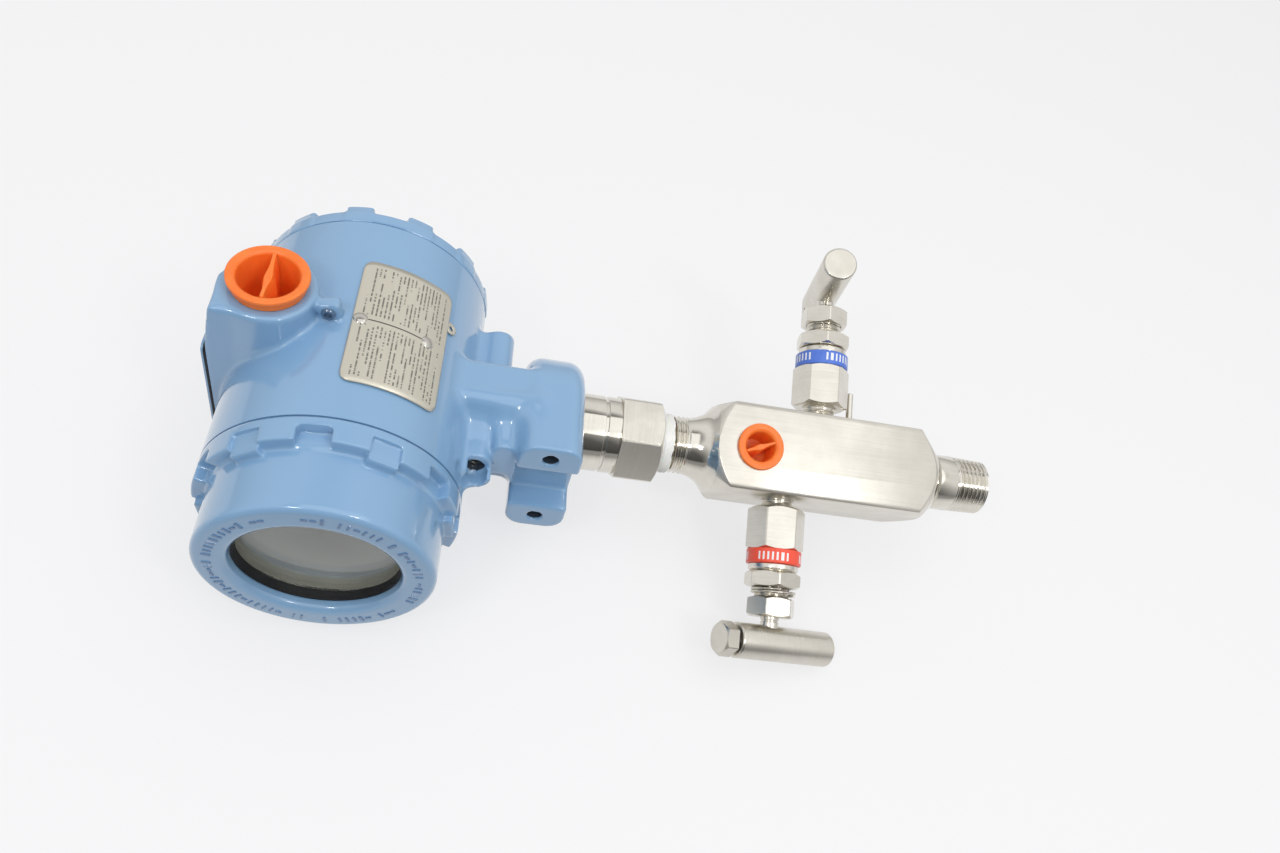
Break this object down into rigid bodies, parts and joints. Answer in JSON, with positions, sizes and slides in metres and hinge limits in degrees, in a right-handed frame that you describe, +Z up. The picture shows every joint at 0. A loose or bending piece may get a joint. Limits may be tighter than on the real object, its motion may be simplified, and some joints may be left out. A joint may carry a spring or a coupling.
{
  "type": "pressure transmitter",
  "caption": "Pressure transmitter: round windowed housing with conduit entries on a square block-and-bleed manifold with T-bar needle valves and a male pipe thread.",
  "frame": {"origin": "centre of the lower pipe thread at its free end", "axes": "+Z up the process axis, -Y towards the window, +X towards the conduit entry with the shipping plug"},
  "size_m": [0.1034, 0.1499, 0.2859],
  "materials": {
    "paint": "smooth satin paint on cast aluminium",
    "glass": "clear plate glass",
    "seal": "matt black rubber",
    "ring": "plain turned ring",
    "display": "matt grey face",
    "board": "lacquered board",
    "terminal": "moulded black plastic",
    "plate": "satin printed plate",
    "orange": "moulded orange plastic",
    "steel": "machined stainless steel",
    "tape": "white thread tape",
    "blue_band": "plain blue ring",
    "red_band": "plain red ring"
  },
  "bodies": {
    "body": {"housing": "paint", "display_module": "display", "electronics_board": "board", "board_standoffs": "steel", "terminal_block": "terminal", "terminal_screws": "steel", "nameplate": "plate", "nameplate_rivets": "steel", "top_plate": "paint", "top_plate_gasket": "seal", "top_plate_screws": "steel", "ground_screw": "steel", "cover_jam_screws": "steel", "blanking_plug": "steel", "sensor_module": "steel", "process_connector": "steel", "sealing_tape": "tape", "manifold_body": "steel", "bonnet_lock_pin": "steel", "vent_tag_ring": "steel", "isolate_bonnet": "steel", "isolate_label_band": "blue_band", "isolate_lock_nut": "steel", "isolate_gland_nut": "steel", "isolate_packing": "tape", "vent_bonnet": "steel", "vent_label_band": "red_band", "vent_lock_nut": "steel", "vent_gland_nut": "steel", "vent_packing": "tape"},
    "isolate_needle": {"isolate_stem_tip": "steel"},
    "isolate_spindle": {"isolate_stem": "steel", "isolate_handle": "steel", "isolate_handle_bolt": "steel"},
    "vent_needle": {"vent_stem_tip": "steel"},
    "vent_spindle": {"vent_stem": "steel", "vent_handle": "steel", "vent_handle_bolt": "steel"},
    "front_seal": {"front_cover_o_ring": "seal"},
    "front_lid": {"front_cover": "paint", "window_glass": "glass", "window_gasket": "seal", "window_retaining_ring": "ring"},
    "rear_seal": {"rear_cover_o_ring": "seal"},
    "rear_lid": {"rear_cover": "paint"},
    "conduit_plug": {"conduit_plug": "orange"},
    "vent_port_plug": {"vent_port_plug": "orange"}
  },
  "joints": [
    {"name": "isolate_lift", "type": "slide", "parent": "body", "child": "isolate_needle", "axis": [0.4179, 0.9085, 0], "range_m": [0, 0.005]},
    {"name": "isolate_turn", "type": "hinge", "parent": "isolate_needle", "child": "isolate_spindle", "pos_m": [0, 0, 0.0679], "axis": [0.4179, 0.9085, 0], "range_deg": [0, 1440]},
    {"name": "vent_lift", "type": "slide", "parent": "body", "child": "vent_needle", "axis": [-0.4179, -0.9085, 0], "range_m": [0, 0.005]},
    {"name": "vent_turn", "type": "hinge", "parent": "vent_needle", "child": "vent_spindle", "pos_m": [0, 0, 0.0823], "axis": [-0.4179, -0.9085, 0], "range_deg": [0, 1440]},
    {"name": "front_lid_travel", "type": "slide", "parent": "body", "child": "front_seal", "axis": [0, -1, 0], "range_m": [0, 0.00953]},
    {"name": "front_lid_turn", "type": "hinge", "parent": "front_seal", "child": "front_lid", "pos_m": [0, -0.03885, 0.239], "axis": [0, -1, 0], "range_deg": [0, 2160]},
    {"name": "rear_lid_travel", "type": "slide", "parent": "body", "child": "rear_seal", "axis": [0, 1, 0], "range_m": [0, 0.00953]},
    {"name": "rear_lid_turn", "type": "hinge", "parent": "rear_seal", "child": "rear_lid", "pos_m": [0, 0.04455, 0.239], "axis": [0, 1, 0], "range_deg": [0, 2160]},
    {"name": "conduit_plug_pull", "type": "slide", "parent": "body", "child": "conduit_plug", "axis": [1, 0, 0], "range_m": [0, 0.018]},
    {"name": "vent_port_plug_pull", "type": "slide", "parent": "body", "child": "vent_port_plug", "axis": [0.9085, -0.4179, 0], "range_m": [0, 0.013]}
  ],
  "couplings": [
    {"joint": "isolate_lift", "follows": "isolate_turn", "m_per_rad": 0.00019894},
    {"joint": "vent_lift", "follows": "vent_turn", "m_per_rad": 0.00019894},
    {"joint": "front_lid_travel", "follows": "front_lid_turn", "m_per_rad": 0.00025266},
    {"joint": "rear_lid_travel", "follows": "rear_lid_turn", "m_per_rad": 0.00025266}
  ]
}
